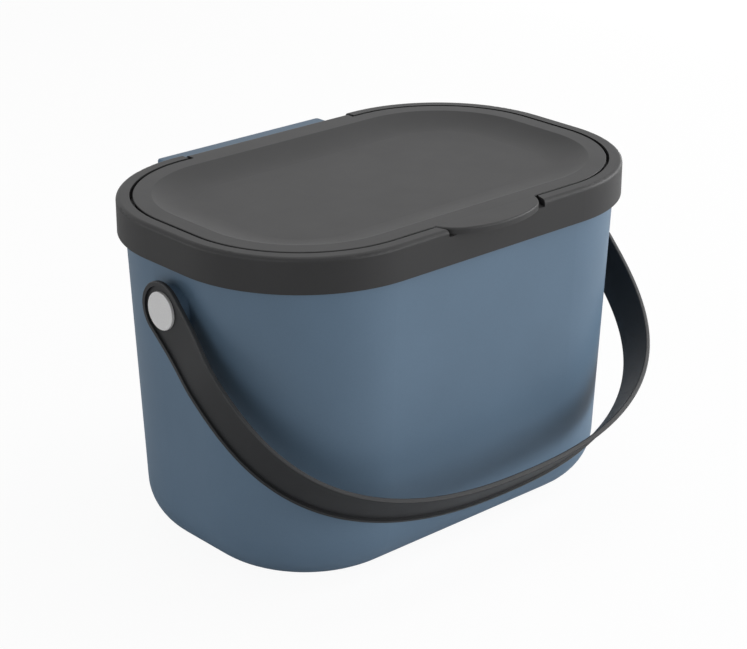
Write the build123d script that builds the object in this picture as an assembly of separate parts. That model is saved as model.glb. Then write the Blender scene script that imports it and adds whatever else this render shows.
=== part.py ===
from build123d import *
import math
import os

# Recycling bin: a tub with a lid hinged in a push-fit rim frame and a swing handle.
# Millimetres. X runs along the long side, -Y is the front, +Z is up.
# The origin is the middle of the flat bottom.

# Rim frame
frame_length = 270.0
frame_width = 178.0
frame_corner = 73.0
frame_height = 18.2
frame_skirt = 2.2
frame_top_wall = 2.2
frame_land = 6.9
frame_upright = 2.0
frame_shelf_wall = 2.0
frame_shelf_reach = 13.0
frame_collar = 1.8
frame_collar_drop = 10.0
frame_edge_round = 2.2
overall_height = 180.0

# Tub
tub_inset = 4.2
tub_draft = 2.53
tub_wall = 2.2
tub_floor = 2.6
tub_bottom_round = 26.0
tub_rim_drop = 7.8
bead_height = 2.4
bead_drop = 4.6
bead_clearance = 0.3

# Rear hook that hangs over a door
hook_half_width = 56.6
hook_plate = 3.0
hook_lip = 3.2
hook_slot = 20.0
hook_drop = 28.0
hook_corner = 3.0
hook_side_round = 2.0
hook_edge_round = 1.2
hook_root = 1.0

# Lid
lid_gap = 1.6
lid_wall = 2.2
lid_skirt = 2.0
lid_lip = 0.9
lid_step = 1.2
lid_edge_round = 0.5
dish_margin = 17.6
dish_width = 22.0
dish_depth = 5.2
dish_edge_round = 1.2

# Finger tab and the lowered front of the frame
tab_half_width = 34.2
tab_reach = 8.0
tab_shoulder = 22.3
tab_shoulder_reach = 3.6
tab_cheek = 30.6
tab_cheek_setback = 2.3
tab_edge_round = 1.0
tab_clearance = 0.3
notch_clearance = 1.2
notch_slant = 2.6
front_cut_depth = 3.7

# Lid hinge
hinge_half_width = 55.5
hinge_end_gap = 2.2
hinge_from_rear = 3.0
hinge_below_top = 3.8
knuckle_radius = 2.7
tongue_setback = 1.6
tongue_edge_round = 3.0
axle_radius = 1.6
axle_length = 6.0
axle_clearance = 0.08
axle_end_gap = 0.4
ear_length = 6.4
rear_cut_margin = 0.3

# Handle
pivot_drop = 39.6
handle_side_gap = 3.5
handle_reach = 145.0
handle_side_power = 2.35
handle_end_power = 3.875
handle_thickness = 2.6
handle_web = 1.3
handle_lip = 2.3
eye_radius = 14.8
arm_width = 24.6
grip_width = 22.6
arm_blend = 46.0
eye_inset = 2.0
handle_edge_round = 0.6
handle_lean = 47.7
outline_steps = 24
outline_crowding = 1.6

# Pivots
boss_radius = 11.4
boss_rise = 4.3
boss_edge_round = 0.5
hub_radius = 7.0
hub_gap = 0.3
pin_radius = 5.0
pin_clearance = 0.1
pin_head_radius = 9.7
pin_head = 1.5
pin_head_gap = 0.1
pin_head_round = 0.5
pin_barb_rise = 0.7
pin_barb_length = 2.4
pin_barb_gap = 0.4
pin_bore_radius = 3.0
pin_hole_depth = 10.0
stop_inner_radius = 7.6
stop_outer_radius = 10.7
stop_rise = 1.9
stop_rib_half_angle = 12.0
stop_gap_angle = 0.2
rib_gap = 0.3

# Working lengths: how far a cut runs past a face, how far joined shapes sink
# into each other, and how near an edge lies to the height it is picked by.
past = 1.0
sink = 0.3
near = 0.01

# Worked out from the sizes above
slope = math.tan(math.radians(tub_draft))
frame_bottom = overall_height - frame_height
tub_rim = overall_height - tub_rim_drop
shelf_top = tub_rim + frame_shelf_wall
rear_face = frame_width / 2
front_face = -frame_width / 2
lid_inset = frame_land + lid_gap
hinge_y = rear_face - hinge_from_rear
hinge_z = overall_height - hinge_below_top
rear_cut_half = hinge_half_width + hinge_end_gap
front_cut_half = tab_half_width + notch_clearance
front_cut_floor = overall_height - front_cut_depth
hook_rear = rear_face + hook_slot + hook_lip
pivot_height = overall_height - pivot_drop
handle_half_span = frame_length / 2 + handle_side_gap + handle_thickness / 2
eye_inner = frame_length / 2 + handle_side_gap - eye_inset
eye_outer = eye_inner + handle_thickness
web_outer = eye_inner + handle_web
far = 2 * frame_length


def tub_outset(z):
    """How far the tub's wall stands in from the frame's outer face at height z."""
    return tub_inset - (z - frame_bottom) * slope


def oblong(inset):
    """Rounded oblong that lies a given distance inside the frame's outer face."""
    return RectangleRounded(
        frame_length - 2 * inset, frame_width - 2 * inset, frame_corner - inset
    )


def prism(inset, z_low, z_high):
    return extrude(Pos(0, 0, z_low) * oblong(inset), z_high - z_low)


def block(x_low, x_high, y_low, y_high, z_low, z_high):
    size = (x_high - x_low, y_high - y_low, z_high - z_low)
    centre = ((x_low + x_high) / 2, (y_low + y_high) / 2, (z_low + z_high) / 2)
    return Pos(*centre) * Box(*size)


def rod_x(radius, x_one, x_two, y, z):
    """Cylinder along X between two stations, given in either order."""
    middle = Pos((x_one + x_two) / 2, y, z)
    return middle * Rot(0, 90, 0) * Cylinder(radius, abs(x_two - x_one))


def side_plane(side, x):
    """Drawing plane square to X at one end of the bin, seen from outside."""
    return Plane(origin=(side * x, 0, pivot_height), x_dir=(0, side, 0), z_dir=(side, 0, 0))


def edges_at(shape, z):
    """Level edges at height z."""
    return [
        e for e in shape.edges() if abs(e.center().Z - z) < near and e.bounding_box().size.Z < near
    ]


def edges_at_end(shape, x):
    """Edges that lie square to X at distance x from the middle."""
    return [e for e in shape.edges() if abs(abs(e.center().X) - x) < near]


def rear_top_edges(shape, y, z):
    """Edges along X at the rear and top of a shape."""
    return [
        e
        for e in shape.edges().filter_by(Axis.X)
        if abs(e.center().Y - y) < near and abs(e.center().Z - z) < near
    ]


def drafted_body(inset_low, z_low, z_high, bottom_round):
    """Drafted oblong with a rounded bottom edge."""
    body = extrude(Pos(0, 0, z_low) * oblong(inset_low), z_high - z_low, taper=-tub_draft)
    return fillet(edges_at(body, z_low), bottom_round)


def stop_sector(side, x_low, x_high, middle_angle, half_angle):
    """Part of a ring about the pivot; the angle runs forward from straight down."""
    steps = [middle_angle - half_angle, middle_angle, middle_angle + half_angle]

    def place(radius, angle):
        lean = math.radians(angle)
        return (-radius * math.sin(lean) * side, -radius * math.cos(lean))

    outer = [place(stop_outer_radius, a) for a in steps]
    inner = [place(stop_inner_radius, a) for a in steps]
    outline = [
        ThreePointArc(outer[0], outer[1], outer[2]),
        Line(outer[2], inner[2]),
        ThreePointArc(inner[2], inner[1], inner[0]),
        Line(inner[0], outer[0]),
    ]
    sketch = make_face(Wire(outline))
    return extrude(side_plane(side, x_low) * sketch, x_high - x_low)


def boss_face_x():
    wall_x = frame_length / 2 - tub_outset(pivot_height)
    return wall_x + boss_rise


def make_tub():
    body = drafted_body(tub_outset(0), 0, tub_rim, tub_bottom_round)
    bead_top = tub_rim - bead_drop
    body += prism(frame_skirt + bead_clearance, bead_top - bead_height, bead_top)
    body += make_hook()
    for side in (-1, 1):
        body += make_boss(side)
    cavity = drafted_body(
        tub_outset(tub_floor) + tub_wall, tub_floor, tub_rim + past, tub_bottom_round - tub_wall
    )
    body -= cavity
    for side in (-1, 1):
        hole_end = side * (boss_face_x() - pin_hole_depth)
        body -= rod_x(pin_radius, hole_end, side * (boss_face_x() + past), 0, pivot_height)
    return body


def make_hook():
    """Plate that runs out from the rear of the rim and turns down as a lip."""
    wall_y = rear_face - tub_outset(tub_rim)
    plate = block(
        -hook_half_width, hook_half_width, wall_y - hook_root, hook_rear, tub_rim - hook_plate, tub_rim
    )
    lip = block(
        -hook_half_width, hook_half_width, hook_rear - hook_lip, hook_rear, tub_rim - hook_drop, tub_rim
    )
    hook = plate + lip
    low_corners = [
        e
        for e in hook.edges().filter_by(Axis.Y)
        if abs(e.center().Z - (tub_rim - hook_drop)) < near
    ]
    hook = fillet(low_corners, hook_corner)
    rear_corners = [e for e in hook.edges().filter_by(Axis.Z) if abs(e.center().Y - hook_rear) < near]
    hook = fillet(rear_corners, hook_side_round)
    top_edges = [e for e in edges_at(hook, tub_rim) if e.center().Y > rear_face + hook_slot]
    return fillet(top_edges, hook_edge_round)


def make_boss(side):
    """Round pad for the handle's pivot, with the ledge that stops the handle."""
    face_x = boss_face_x()
    pad = extrude(side_plane(side, face_x) * Circle(boss_radius), -(boss_rise + tub_wall / 2))
    pad = fillet(edges_at_end(pad, face_x), boss_edge_round)
    half = handle_lean - stop_rib_half_angle - stop_gap_angle
    return pad + stop_sector(side, face_x - sink, face_x + stop_rise, 0, half)


def make_frame():
    body = prism(0, frame_bottom, overall_height)
    body = fillet(edges_at(body, overall_height), frame_edge_round)
    body -= prism(frame_land, shelf_top, overall_height + past)
    collar_bottom = tub_rim - frame_collar_drop
    inner = frame_shelf_reach - frame_collar
    under = frame_bottom - past
    body -= prism(frame_skirt, under, tub_rim) - prism(inner, under, tub_rim)
    body -= prism(inner, under, collar_bottom)
    body -= prism(frame_shelf_reach, under, overall_height + past)
    channel_top = overall_height - frame_top_wall
    upright_inset = frame_land - frame_upright
    channel = prism(frame_skirt, tub_rim, channel_top) - prism(upright_inset, tub_rim, channel_top)
    channel -= block(
        -front_cut_half - frame_upright,
        front_cut_half + frame_upright,
        -frame_width,
        0,
        front_cut_floor - frame_top_wall,
        overall_height,
    )
    channel -= block(
        -rear_cut_half - ear_length, rear_cut_half + ear_length, 0, frame_width, tub_rim, overall_height
    )
    body -= channel
    body -= front_notch()
    body -= block(
        -rear_cut_half,
        rear_cut_half,
        rear_face - frame_land - rear_cut_margin,
        frame_width,
        under,
        overall_height + past,
    )
    socket_end = hinge_half_width + axle_length + axle_end_gap
    body -= rod_x(axle_radius + axle_clearance, -socket_end, socket_end, hinge_y, hinge_z)
    return body


def front_notch():
    """Lowered front of the frame, a little narrower at the outer face."""
    neck = front_face + lid_inset
    outer = front_cut_half - notch_slant
    corners = [
        (-front_cut_half, neck),
        (-outer, front_face),
        (-outer, front_face - past),
        (outer, front_face - past),
        (outer, front_face),
        (front_cut_half, neck),
    ]
    floor = Pos(0, 0, front_cut_floor) * make_face(Polyline(*corners, close=True))
    return extrude(floor, front_cut_depth + past)


def dish(shift):
    """Dished space of the lid's top, moved down by shift: a rounded rim, then a hollow slope."""
    top = overall_height - shift
    path = Pos(0, 0, top) * oblong(dish_margin).wire()
    start = path @ 0
    run = path % 0
    inward = Vector(0, 0, 1).cross(run)
    if inward.dot(Vector(0, 0, top) - start) < 0:
        inward = -inward
    steep = 2 * math.atan(dish_depth / dish_width)
    hollow_radius = dish_width / math.sin(steep) - dish_edge_round

    def spot(run_in, rise):
        return start + inward * run_in + Vector(0, 0, rise)

    def rim_spot(angle):
        return spot(dish_edge_round * math.sin(angle), dish_edge_round * (math.cos(angle) - 1))

    def slope_spot(angle):
        rise = hollow_radius * (1 - math.cos(angle)) - dish_depth
        return spot(dish_width - hollow_radius * math.sin(angle), rise)

    outline = [
        ThreePointArc(rim_spot(0), rim_spot(steep / 2), rim_spot(steep)),
        ThreePointArc(slope_spot(steep), slope_spot(steep / 2), slope_spot(0)),
        Line(slope_spot(0), spot(dish_width, past)),
        Line(spot(dish_width, past), spot(0, past)),
        Line(spot(0, past), rim_spot(0)),
    ]
    border = sweep(make_face(Wire(outline)), path=path)
    return border + prism(dish_margin + dish_width, top - dish_depth, top + past)


def tab_outline():
    """D shape of the finger tab, seen from above."""
    root = front_face + dish_margin / 2
    shoulder = front_face - tab_shoulder_reach
    cheek = front_face + tab_cheek_setback
    tip = front_face - tab_reach
    neck = front_face + lid_inset
    outline = [
        Line((-tab_half_width, root), (-tab_half_width, neck)),
        ThreePointArc((-tab_half_width, neck), (-tab_cheek, cheek), (-tab_shoulder, shoulder)),
        ThreePointArc((-tab_shoulder, shoulder), (0, tip), (tab_shoulder, shoulder)),
        ThreePointArc((tab_shoulder, shoulder), (tab_cheek, cheek), (tab_half_width, neck)),
        Line((tab_half_width, neck), (tab_half_width, root)),
        Line((tab_half_width, root), (-tab_half_width, root)),
    ]
    return make_face(Wire(outline))


def make_lid():
    skirt_inset = lid_inset + lid_step
    rim = prism(lid_inset, overall_height - lid_lip, overall_height)
    rim = fillet(edges_at(rim, overall_height), lid_edge_round)
    body = prism(skirt_inset, shelf_top, overall_height) + rim
    body -= prism(skirt_inset + lid_skirt, shelf_top, overall_height - lid_wall)
    body += dish(lid_wall)
    body -= block(-far, far, -far, far, overall_height, overall_height + 2 * past)
    body += make_tab()
    body -= dish(0)
    body += make_tongue()
    return body


def make_tab():
    """Finger tab: a plate over the frame's lowered front, rounded along its free edges."""
    low = front_cut_floor + tab_clearance
    plate = extrude(Pos(0, 0, low) * tab_outline(), overall_height - low)
    root = front_face + dish_margin / 2
    edge = [e for e in edges_at(plate, overall_height) if e.center().Y < root - near]
    return fillet(edge, tab_edge_round)


def make_tongue():
    """Rear strip of the lid with its hinge knuckle and the two stub axles."""
    lid_rear = rear_face - lid_inset - lid_step
    tongue_rear = rear_face - tongue_setback
    strip = block(
        -hinge_half_width,
        hinge_half_width,
        lid_rear - lid_skirt,
        tongue_rear,
        hinge_z,
        overall_height,
    )
    strip = fillet(rear_top_edges(strip, tongue_rear, overall_height), tongue_edge_round)
    web = block(
        -hinge_half_width, hinge_half_width, lid_rear - lid_skirt, hinge_y, shelf_top, hinge_z
    )
    knuckle = rod_x(knuckle_radius, -hinge_half_width, hinge_half_width, hinge_y, hinge_z)
    reach = hinge_half_width + axle_length
    axle = rod_x(axle_radius, -reach, reach, hinge_y, hinge_z)
    return strip + web + knuckle + axle


def eye_pull(drop):
    """How far the arm is drawn in towards the tub at a distance below the pivot."""
    share = min(max((drop - eye_radius) / (arm_blend - eye_radius), 0), 1)
    return eye_inset * (1 - share**2 * (3 - 2 * share))


def bail_spot(share, shift):
    """Point of the handle's curve, moved outward by shift; share runs 0 to 1 to the middle."""
    turn = share * math.pi / 2
    u = handle_half_span * math.cos(turn) ** (2 / handle_side_power)
    v = handle_reach * math.sin(turn) ** (2 / handle_end_power)
    slope_u = handle_side_power * (u / handle_half_span) ** (handle_side_power - 1) / handle_half_span
    slope_v = handle_end_power * (v / handle_reach) ** (handle_end_power - 1) / handle_reach
    size = math.hypot(slope_u, slope_v)
    return (u - eye_pull(v) + shift * slope_u / size, -v - shift * slope_v / size)


def bail_line(shift):
    """Spots along the whole bail at one distance from its middle surface."""
    half = [bail_spot((i / outline_steps) ** outline_crowding, shift) for i in range(1, outline_steps)]
    right = [(handle_half_span - eye_inset + shift, 0)] + half
    left = [(-x, y) for x, y in reversed(right)]
    return right + [(0, -handle_reach - shift)] + left


def bail_layer(shift_low, shift_high, width):
    """Slab of the bail between two distances from its middle surface."""
    outer = bail_line(shift_high)
    inner = bail_line(shift_low)
    down = [(0, -1), (0, 1)]
    top = 2 * eye_radius
    outer_right = (outer[0][0], top)
    outer_left = (outer[-1][0], top)
    inner_right = (inner[0][0], top)
    inner_left = (inner[-1][0], top)
    outline = [
        Line(outer_right, outer[0]),
        Spline(*outer, tangents=down),
        Line(outer[-1], outer_left),
        Line(outer_left, inner_left),
        Line(inner_left, inner[-1]),
        Spline(*inner[::-1], tangents=down),
        Line(inner[0], inner_right),
        Line(inner_right, outer_right),
    ]
    return extrude(Plane.XZ * make_face(Wire(outline)), width / 2, both=True)


def bail_width(trim):
    """Side outline of the handle: round eye, then the arm, then the slightly narrower grip."""
    eye = eye_radius - trim
    arm = arm_width / 2 - trim
    grip = grip_width / 2 - trim
    low = -handle_reach - 2 * handle_thickness
    corners = [(-eye, 0), (-arm, -arm_blend), (-grip, low), (grip, low), (arm, -arm_blend), (eye, 0)]
    sketch = make_face(Polyline(*corners, close=True)) + Circle(eye)
    return extrude(Plane.YZ * sketch, far, both=True)


def make_handle():
    half = handle_thickness / 2
    wide = 3 * eye_radius
    body = bail_layer(-half, half, wide) & bail_width(0)
    body = fillet(body.edges(), handle_edge_round)
    recess = bail_layer(-half + handle_web, half + handle_thickness, wide) & bail_width(handle_lip)
    body -= recess
    face_x = boss_face_x()
    hub_low = face_x + hub_gap
    for side in (-1, 1):
        body += rod_x(hub_radius, side * hub_low, side * (eye_inner + sink), 0, 0)
        rib = stop_sector(side, face_x + rib_gap, eye_inner + sink, 0, stop_rib_half_angle)
        body += Pos(0, 0, -pivot_height) * rib
        bore_radius = pin_radius + pin_clearance
        body -= rod_x(bore_radius, side * (hub_low - past), side * (eye_outer + past), 0, 0)
    body = Rot(-handle_lean, 0, 0) * body
    return Pos(0, 0, pivot_height) * body


def make_pin(side):
    """Push-in pin: a disc head outside, a hollow shank and a barb behind the tub's wall."""
    wall_in = frame_length / 2 - tub_outset(pivot_height) - tub_wall
    tip = wall_in - pin_barb_length
    head_inner = web_outer + pin_head_gap
    head = extrude(side_plane(side, head_inner) * Circle(pin_head_radius), pin_head)
    head = fillet(edges_at_end(head, head_inner + pin_head), pin_head_round)
    shank = rod_x(pin_radius, side * tip, side * (head_inner + sink), 0, pivot_height)
    barb_plane = side_plane(side, tip)
    barb = loft(
        [
            barb_plane * Circle(pin_radius - pin_barb_rise),
            barb_plane.offset(pin_barb_length - pin_barb_gap) * Circle(pin_radius + pin_barb_rise),
        ]
    )
    pin = head + shank + barb
    return pin - rod_x(pin_bore_radius, side * (tip - past), side * web_outer, 0, pivot_height)


def main():
    os.makedirs("parts", exist_ok=True)
    pieces = {
        "tub": make_tub(),
        "rim_frame": make_frame(),
        "lid": make_lid(),
        "carry_handle": make_handle(),
        "pivot_pin_left": make_pin(-1),
        "pivot_pin_right": make_pin(1),
    }
    for name, piece in pieces.items():
        export_step(piece, f"parts/{name}.step")


main()
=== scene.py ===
import math

import bpy
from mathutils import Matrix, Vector

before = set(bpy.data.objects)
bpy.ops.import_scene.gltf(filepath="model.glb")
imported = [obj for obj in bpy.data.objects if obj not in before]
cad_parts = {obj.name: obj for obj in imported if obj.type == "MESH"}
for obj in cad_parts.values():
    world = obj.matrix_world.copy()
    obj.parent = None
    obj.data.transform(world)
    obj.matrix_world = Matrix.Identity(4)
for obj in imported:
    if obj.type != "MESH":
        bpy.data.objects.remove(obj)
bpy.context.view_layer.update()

# Camera, solved from the outline of the bin in the photograph
CAMERA_AZIMUTH = math.radians(-41.96)
CAMERA_ELEVATION = math.radians(22.46)
CAMERA_DISTANCE = 1.1391
CAMERA_TARGET = Vector((0.00758, 0.00984, 0.08992))
CAMERA_LENS = 102.6
SENSOR_WIDTH = 36.0

# Colours, as linear red, green and blue
WHITE = (1.0, 1.0, 1.0)
TUB_BLUE = (0.135, 0.213, 0.305)
DARK_GREY = (0.040, 0.040, 0.041)
HANDLE_GREY = (0.020, 0.021, 0.023)
PIN_GREY = (0.90, 0.90, 0.90)
FLOOR_COLOUR = (0.86, 0.86, 0.86)

# Noise on the plastic: scales per metre, and the range that each one gives
NOISE_LOW = 0.3
NOISE_HIGH = 0.7
CLOUD_SCALE = 22.0
CLOUD_RANGE = (0.965, 1.035)
SPECK_SCALE = 1400.0
SPECK_RANGE = (0.975, 1.025)
SHEEN_SCALE = 60.0
SHEEN_BELOW = 0.012
SHEEN_ABOVE = 0.018
GRAIN_SCALE = 2600.0
GRAIN_DEPTH = 0.00006
COAT_ROUGHNESS = 0.25

# Paler edges, part rubbed wear and part painted highlight: where the rounded normal leaves the
# plain one, and how much paler they are
EDGE_RADIUS = 0.0007
EDGE_SAMPLES = 6
EDGE_STARTS = 0.995
EDGE_FULL = 0.80
EDGE_WEAR_AND_HIGHLIGHT_GAIN = 1.35
EDGE_WEAR_AND_HIGHLIGHT_LIFT = 0.01

# Studio floor and surroundings
FLOOR_SIZE = 6.0
FLOOR_DROP = 0.0002
FLOOR_GLOW = 0.90
FLOOR_SHINE = 1.04
WORLD_LIGHT = 0.20
WORLD_GLOSS = 0.85

# Lights: name, place, width and height, power in watts
LIGHT_AIM = (0, 0, 0.09)
LIGHTS = [
    ("key_right", (1.5, -0.55, 0.62), (1.0, 0.8), 12.5),
    ("top", (0.3, 0.1, 1.5), (1.2, 1.2), 4.5),
    ("front_right", (0.7, -1.6, 0.35), (1.0, 0.7), 8.2),
    ("left_soft", (-1.5, -0.5, 0.35), (0.8, 0.8), 3.0),
    ("left_rear", (-1.2, 0.8, 0.10), (0.8, 0.14), 2.0),
    ("right_rear", (1.2, 0.6, 0.10), (0.8, 0.14), 1.6),
]


def node(tree, kind, **values):
    """Adds a node and sets the named inputs or attributes on it."""
    made = tree.nodes.new(kind)
    for name, value in values.items():
        if name in made.inputs:
            made.inputs[name].default_value = value
        else:
            setattr(made, name, value)
    return made


def opaque(colour):
    """A colour with full alpha, as colour sockets want it."""
    return (*colour, 1.0)


def noise(tree, place, scale, detail):
    """Noise in the frame's own metres, from 0 to 1."""
    made = node(tree, "ShaderNodeTexNoise", Scale=scale, Detail=detail)
    tree.links.new(place.outputs["Object"], made.inputs["Vector"])
    return made.outputs["Fac"]


def spread(tree, value, low, high):
    """Maps the middle of the noise onto low to high."""
    made = node(tree, "ShaderNodeMapRange")
    made.inputs["From Min"].default_value = NOISE_LOW
    made.inputs["From Max"].default_value = NOISE_HIGH
    made.inputs["To Min"].default_value = low
    made.inputs["To Max"].default_value = high
    tree.links.new(value, made.inputs["Value"])
    return made.outputs["Result"]


def edge_mask(tree):
    """0 on flat ground, rising on edges that are sharper than the edge radius."""
    bevel = node(tree, "ShaderNodeBevel", samples=EDGE_SAMPLES, Radius=EDGE_RADIUS)
    plain = node(tree, "ShaderNodeNewGeometry")
    dot = node(tree, "ShaderNodeVectorMath", operation="DOT_PRODUCT")
    tree.links.new(bevel.outputs["Normal"], dot.inputs[0])
    tree.links.new(plain.outputs["Normal"], dot.inputs[1])
    rise = node(tree, "ShaderNodeMapRange")
    rise.inputs["From Min"].default_value = EDGE_STARTS
    rise.inputs["From Max"].default_value = EDGE_FULL
    tree.links.new(dot.outputs["Value"], rise.inputs["Value"])
    return rise.outputs["Result"]


def plastic_colour(tree, place, colour, edge_wear_and_highlight):
    """The plastic's colour with faint clouds and specks, paler on edges as rubbed wear and
    painted highlight.
    """
    cloud = spread(tree, noise(tree, place, CLOUD_SCALE, detail=4.0), *CLOUD_RANGE)
    speck = spread(tree, noise(tree, place, SPECK_SCALE, detail=2.0), *SPECK_RANGE)
    tint = node(tree, "ShaderNodeMath", operation="MULTIPLY")
    tree.links.new(cloud, tint.inputs[0])
    tree.links.new(speck, tint.inputs[1])
    # Paler edge colour: part rubbed wear, part painted highlight standing in for light catching
    # the edges
    paler = [min(1.0, part * EDGE_WEAR_AND_HIGHLIGHT_GAIN + EDGE_WEAR_AND_HIGHLIGHT_LIFT) for part in colour]
    wear_and_highlight_mix = node(tree, "ShaderNodeMix", data_type="RGBA", blend_type="MIX")
    wear_and_highlight_mix.inputs["A"].default_value = opaque(colour)
    wear_and_highlight_mix.inputs["B"].default_value = opaque(paler)
    edges = node(tree, "ShaderNodeMath", operation="MULTIPLY")
    edges.inputs[1].default_value = edge_wear_and_highlight
    tree.links.new(edge_mask(tree), edges.inputs[0])
    tree.links.new(edges.outputs["Value"], wear_and_highlight_mix.inputs["Factor"])
    shade = node(tree, "ShaderNodeVectorMath", operation="SCALE")
    tree.links.new(wear_and_highlight_mix.outputs["Result"], shade.inputs[0])
    tree.links.new(tint.outputs["Value"], shade.inputs["Scale"])
    return shade.outputs["Vector"]


def moulded_plastic(name, colour, roughness, grain, edge_wear_and_highlight, gloss=0.42, coat=0.0):
    """Injection-moulded plastic: clouded colour, fine spark grain, soft paler edges of rubbed
    wear and painted highlight.
    """
    material = bpy.data.materials.new(name)
    material.use_nodes = True
    tree = material.node_tree
    tree.nodes.clear()
    out = node(tree, "ShaderNodeOutputMaterial")
    shader = node(tree, "ShaderNodeBsdfPrincipled")
    shader.inputs["Specular IOR Level"].default_value = gloss
    shader.inputs["Coat Weight"].default_value = coat
    shader.inputs["Coat Roughness"].default_value = COAT_ROUGHNESS
    tree.links.new(shader.outputs["BSDF"], out.inputs["Surface"])
    place = node(tree, "ShaderNodeTexCoord")
    tree.links.new(plastic_colour(tree, place, colour, edge_wear_and_highlight), shader.inputs["Base Color"])

    mottle = noise(tree, place, SHEEN_SCALE, detail=5.0)
    sheen = spread(tree, mottle, roughness - SHEEN_BELOW, roughness + SHEEN_ABOVE)
    tree.links.new(sheen, shader.inputs["Roughness"])

    fine = noise(tree, place, GRAIN_SCALE, detail=2.0)
    bump = node(tree, "ShaderNodeBump", Strength=grain, Distance=GRAIN_DEPTH)
    tree.links.new(fine, bump.inputs["Height"])
    tree.links.new(bump.outputs["Normal"], shader.inputs["Normal"])
    return material


def dress(name, material):
    """Gives a CAD node its material."""
    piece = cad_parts[name]
    piece.data.materials.clear()
    piece.data.materials.append(material)


def dress_bin():
    """Makes the plastics and gives each piece its own."""
    tub_plastic = moulded_plastic("tub_plastic", TUB_BLUE, roughness=0.47, grain=0.10, edge_wear_and_highlight=0.35)
    frame_plastic = moulded_plastic(
        "frame_plastic", DARK_GREY, roughness=0.46, grain=0.12, edge_wear_and_highlight=0.45, gloss=0.30
    )
    lid_plastic = moulded_plastic(
        "lid_plastic", DARK_GREY, roughness=0.48, grain=0.12, edge_wear_and_highlight=0.45, gloss=0.36
    )
    handle_plastic = moulded_plastic(
        "handle_plastic", HANDLE_GREY, roughness=0.44, grain=0.10, edge_wear_and_highlight=0.5
    )
    pin_plastic = moulded_plastic(
        "pin_plastic", PIN_GREY, roughness=0.35, grain=0.04, edge_wear_and_highlight=0.3, coat=0.15
    )
    dress("tub", tub_plastic)
    dress("rim_frame", frame_plastic)
    dress("lid", lid_plastic)
    dress("carry_handle", handle_plastic)
    dress("pivot_pin_left", pin_plastic)
    dress("pivot_pin_right", pin_plastic)


def make_world():
    """White to the camera, bright in reflections, dim as a light."""
    world = bpy.data.worlds.new("studio")
    world.use_nodes = True
    tree = world.node_tree
    tree.nodes.clear()
    out = node(tree, "ShaderNodeOutputWorld")
    lit = node(tree, "ShaderNodeBackground", Color=opaque(WHITE), Strength=WORLD_LIGHT)
    mirrored = node(tree, "ShaderNodeBackground", Color=opaque(WHITE), Strength=WORLD_GLOSS)
    shown = node(tree, "ShaderNodeBackground", Color=opaque(WHITE), Strength=1.0)
    gloss = node(tree, "ShaderNodeMixShader")
    pick = node(tree, "ShaderNodeMixShader")
    path = node(tree, "ShaderNodeLightPath")
    tree.links.new(path.outputs["Is Glossy Ray"], gloss.inputs[0])
    tree.links.new(lit.outputs["Background"], gloss.inputs[1])
    tree.links.new(mirrored.outputs["Background"], gloss.inputs[2])
    tree.links.new(path.outputs["Is Camera Ray"], pick.inputs[0])
    tree.links.new(gloss.outputs["Shader"], pick.inputs[1])
    tree.links.new(shown.outputs["Background"], pick.inputs[2])
    tree.links.new(pick.outputs["Shader"], out.inputs["Surface"])
    bpy.context.scene.world = world


def floor_material():
    """Pale matte, lifted towards white where the camera sees it."""
    material = bpy.data.materials.new("pale_floor")
    material.use_nodes = True
    tree = material.node_tree
    tree.nodes.clear()
    out = node(tree, "ShaderNodeOutputMaterial")
    matte = node(tree, "ShaderNodeBsdfDiffuse", Color=opaque(FLOOR_COLOUR))
    glow = node(tree, "ShaderNodeEmission", Color=opaque(WHITE), Strength=FLOOR_SHINE)
    share = node(tree, "ShaderNodeMath", operation="MULTIPLY")
    share.inputs[1].default_value = FLOOR_GLOW
    path = node(tree, "ShaderNodeLightPath")
    mix = node(tree, "ShaderNodeMixShader")
    tree.links.new(path.outputs["Is Camera Ray"], share.inputs[0])
    tree.links.new(share.outputs["Value"], mix.inputs[0])
    tree.links.new(matte.outputs["BSDF"], mix.inputs[1])
    tree.links.new(glow.outputs["Emission"], mix.inputs[2])
    tree.links.new(mix.outputs["Shader"], out.inputs["Surface"])
    return material


def make_floor():
    """Pale studio floor that keeps the bin's soft shadow."""
    half = FLOOR_SIZE / 2
    mesh = bpy.data.meshes.new("studio_floor")
    corners = [(-half, -half), (half, -half), (half, half), (-half, half)]
    mesh.from_pydata([(x, y, -FLOOR_DROP) for x, y in corners], [], [(0, 1, 2, 3)])
    floor = bpy.data.objects.new("studio_floor", mesh)
    bpy.context.scene.collection.objects.link(floor)
    mesh.materials.append(floor_material())


def area_light(name, place, size, power):
    """A rectangular light that faces the bin."""
    data = bpy.data.lights.new(name, "AREA")
    data.shape = "RECTANGLE"
    data.size, data.size_y = size
    data.energy = power
    lamp = bpy.data.objects.new(name, data)
    bpy.context.scene.collection.objects.link(lamp)
    lamp.location = place
    aim = Vector(LIGHT_AIM) - Vector(place)
    lamp.rotation_euler = aim.to_track_quat("-Z", "Y").to_euler()


def make_camera():
    """The camera of the photograph."""
    data = bpy.data.cameras.new("photo_camera")
    data.lens = CAMERA_LENS
    data.sensor_width = SENSOR_WIDTH
    camera = bpy.data.objects.new("photo_camera", data)
    back = Vector(
        (
            math.sin(CAMERA_AZIMUTH) * math.cos(CAMERA_ELEVATION),
            -math.cos(CAMERA_AZIMUTH) * math.cos(CAMERA_ELEVATION),
            math.sin(CAMERA_ELEVATION),
        )
    )
    camera.location = CAMERA_TARGET + back * CAMERA_DISTANCE
    camera.rotation_euler = (-back).to_track_quat("-Z", "Y").to_euler()
    bpy.context.scene.collection.objects.link(camera)
    bpy.context.scene.camera = camera


dress_bin()
make_world()
make_floor()
for light in LIGHTS:
    area_light(*light)
make_camera()
bpy.context.scene.view_settings.view_transform = "Standard"
